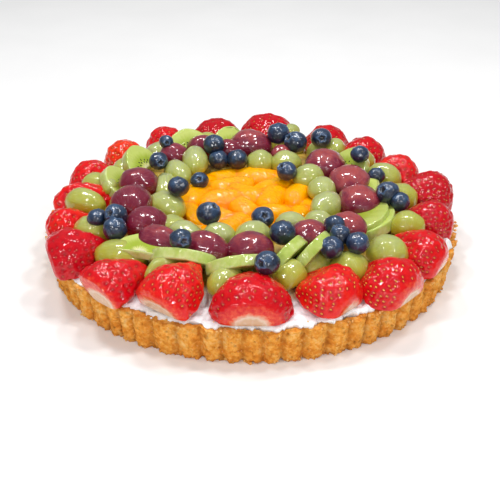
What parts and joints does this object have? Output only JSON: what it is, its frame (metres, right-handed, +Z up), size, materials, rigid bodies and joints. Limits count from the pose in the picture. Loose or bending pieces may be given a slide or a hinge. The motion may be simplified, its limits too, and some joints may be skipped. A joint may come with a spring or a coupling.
{
  "type": "fruit tart",
  "caption": "Round fluted shortcrust tart filled with white cream and covered with rings of glazed strawberries, cut grapes, kiwi and blueberries round a heap of mandarin.",
  "frame": {"origin": "middle of the flat underside of the crust, where it rests", "axes": "+Z up; +X and +Y are two radii of the round tart and mark nothing in its outline; azimuths in the source run anticlockwise from +X seen from above"},
  "size_m": [0.2786, 0.2769, 0.0612],
  "materials": {
    "crust": "baked golden brown, dry, fine pores and crumbs",
    "cream": "white, soft, faintly moist",
    "strawberry": "red, dimpled with pale seeds, under clear glaze",
    "green_grape": "yellow green, translucent, under clear glaze",
    "red_grape": "crimson purple, finely speckled, translucent, under clear glaze",
    "kiwi": "bright green with a pale core, dark seeds and a pale peeled edge, under clear glaze",
    "blueberry": "navy with a pale bloom, under clear glaze",
    "mandarin": "orange, wet, grained along each segment, under clear glaze"
  },
  "bodies": {
    "root": {"blueberries_back_left": "blueberry", "blueberries_back_right": "blueberry", "blueberries_front_right": "blueberry", "blueberries_left": "blueberry", "blueberries_right": "blueberry", "cream": "cream", "crust": "crust", "green_grape_outer_01": "green_grape", "green_grape_outer_02": "green_grape", "green_grape_outer_03": "green_grape", "green_grape_outer_04": "green_grape", "green_grape_outer_05": "green_grape", "green_grape_outer_06": "green_grape", "green_grape_outer_07": "green_grape", "green_grape_outer_08": "green_grape", "green_grape_outer_09": "green_grape", "green_grape_outer_10": "green_grape", "green_grape_outer_11": "green_grape", "green_grape_outer_12": "green_grape", "green_grape_outer_13": "green_grape", "green_grapes_inner_back": "green_grape", "green_grapes_inner_front": "green_grape", "green_grapes_inner_front_right": "green_grape", "green_grapes_inner_left": "green_grape", "green_grapes_inner_right": "green_grape", "kiwi_slices_back": "kiwi", "kiwi_slices_back_left": "kiwi", "kiwi_slices_back_right": "kiwi", "kiwi_slices_front": "kiwi", "kiwi_slices_front_left": "kiwi", "kiwi_slices_front_right": "kiwi", "kiwi_slices_front_right_inner": "kiwi", "kiwi_slices_left": "kiwi", "kiwi_slices_left_low": "kiwi", "kiwi_slices_right": "kiwi", "mandarin_heap": "mandarin", "red_grapes_back": "red_grape", "red_grapes_back_left": "red_grape", "red_grapes_front_right": "red_grape", "red_grapes_left": "red_grape", "red_grapes_right": "red_grape", "strawberry_01": "strawberry", "strawberry_02": "strawberry", "strawberry_03": "strawberry", "strawberry_04": "strawberry", "strawberry_05": "strawberry", "strawberry_06": "strawberry", "strawberry_07": "strawberry", "strawberry_08": "strawberry", "strawberry_09": "strawberry", "strawberry_10": "strawberry", "strawberry_11": "strawberry", "strawberry_12": "strawberry", "strawberry_13": "strawberry", "strawberry_14": "strawberry", "strawberry_15": "strawberry", "strawberry_16": "strawberry", "strawberry_17": "strawberry", "strawberry_18": "strawberry", "strawberry_19": "strawberry"}
  },
  "joints": []
}
